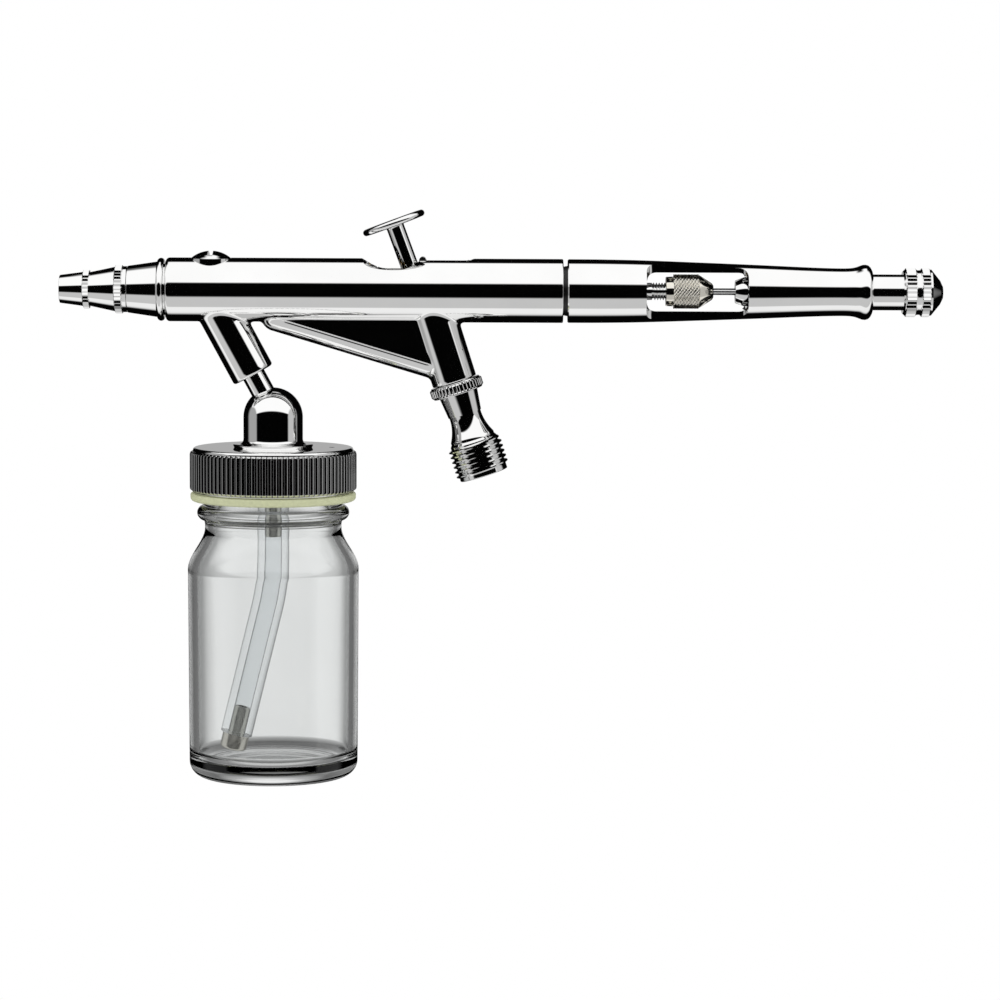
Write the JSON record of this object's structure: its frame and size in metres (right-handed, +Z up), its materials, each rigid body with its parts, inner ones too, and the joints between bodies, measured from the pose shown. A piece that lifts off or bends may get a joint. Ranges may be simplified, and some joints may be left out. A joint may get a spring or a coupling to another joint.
{
  "type": "airbrush gun",
  "caption": "Double-action airbrush: slim barrel with a top trigger, siphon jar below, threaded air inlet and cutaway handle with a preset knob.",
  "frame": {"origin": "on the air valve's axis, in the middle of the first full thread crest of the air inlet", "axes": "+X along the barrel from the nozzle towards the handle, +Z up, Y square to the airbrush's plane of symmetry"},
  "size_m": [0.1577, 0.0306, 0.1021],
  "materials": {
    "chrome": "mirror-polished chrome plating",
    "steel": "turned stainless steel",
    "nickel": "diamond-knurled nickel plating",
    "brass": "turned brass",
    "ptfe": "white PTFE",
    "rubber": "black rubber",
    "gasket": "soft translucent yellow-green ring",
    "hose": "cloudy flexible hose",
    "glass": "clear pressed glass"
  },
  "bodies": {
    "body": {"body_shell": "chrome", "slotted_plug": "chrome", "nozzle_head": "chrome", "fluid_nozzle": "brass", "nozzle_seal": "ptfe", "nozzle_cap": "chrome", "needle_cap": "chrome", "needle_packing": "ptfe", "packing_screw": "brass", "valve_casing": "chrome", "valve_o_ring": "rubber", "valve_screw": "brass", "valve_spring": "steel", "spring_guide": "brass", "needle_spring": "steel", "handle": "chrome"},
    "plunger": {"valve_plunger": "steel", "valve_seal": "rubber"},
    "trigger": {"trigger": "chrome"},
    "carriage": {"chucking_guide": "steel", "needle": "steel", "lever_pin": "steel"},
    "lever": {"auxiliary_lever": "steel"},
    "nut": {"chuck_nut": "nickel"},
    "preset_ring": {"preset_o_ring": "rubber"},
    "preset": {"preset_stem": "chrome", "preset_knob": "chrome"},
    "bottle": {"bottle_adaptor": "chrome", "bottle_cap": "chrome", "adaptor_nut": "steel", "cap_liner": "ptfe", "hose_nipple": "steel", "siphon_hose": "hose", "hose_foot": "steel"},
    "gasket": {"bottle_gasket": "gasket"},
    "jar": {"bottle_jar": "glass"}
  },
  "joints": [
    {"name": "trigger_press", "type": "slide", "parent": "body", "child": "plunger", "axis": [0.304, 0, -0.9527], "range_m": [0, 0.0025], "stiffness_N_per_m": 600, "springref_m": -0.002, "deforming": ["valve_spring"]},
    {"name": "trigger_rock", "type": "hinge", "parent": "plunger", "child": "trigger", "pos_m": [-0.00874, 0, 0.02738], "axis": [0, 1, 0], "range_deg": [0, 25]},
    {"name": "needle_draw", "type": "slide", "parent": "body", "child": "carriage", "axis": [1, 0, 0], "range_m": [0, 0.0024], "stiffness_N_per_m": 400, "springref_m": -0.003, "deforming": ["needle_spring"]},
    {"name": "lever_rock", "type": "hinge", "parent": "carriage", "child": "lever", "pos_m": [-0.00743, 0, 0.03037], "axis": [0, 1, 0], "range_deg": [0, 25]},
    {"name": "chuck_nut_turn", "type": "hinge", "parent": "carriage", "child": "nut", "pos_m": [0.03517, 0, 0.03247], "axis": [1, 0, 0], "range_deg": [0, 360]},
    {"name": "preset_travel", "type": "slide", "parent": "body", "child": "preset_ring", "axis": [1, 0, 0], "range_m": [-0.0012, 0.002]},
    {"name": "preset_turn", "type": "hinge", "parent": "preset_ring", "child": "preset", "pos_m": [0.07017, 0, 0.03247], "axis": [1, 0, 0], "range_deg": [-540, 900]},
    {"name": "bottle_swivel", "type": "hinge", "parent": "body", "child": "bottle", "pos_m": [-0.04117, 0, 0.01726], "axis": [0.4772, 0, -0.8788], "range_deg": [-90, 90]},
    {"name": "jar_drop", "type": "slide", "parent": "bottle", "child": "gasket", "axis": [0, 0, -1], "range_m": [0, 0.0045]},
    {"name": "jar_turn", "type": "hinge", "parent": "gasket", "child": "jar", "pos_m": [-0.03768, 0, -0.02053], "axis": [0, 0, -1], "range_deg": [0, 540]}
  ],
  "couplings": [
    {"joint": "trigger_rock", "follows": "needle_draw", "rad_per_m": 181.81},
    {"joint": "lever_rock", "follows": "needle_draw", "rad_per_m": 181.81},
    {"joint": "preset_turn", "follows": "preset_travel", "rad_per_m": 7854},
    {"joint": "jar_drop", "follows": "jar_turn", "m_per_rad": 0.00047746}
  ]
}
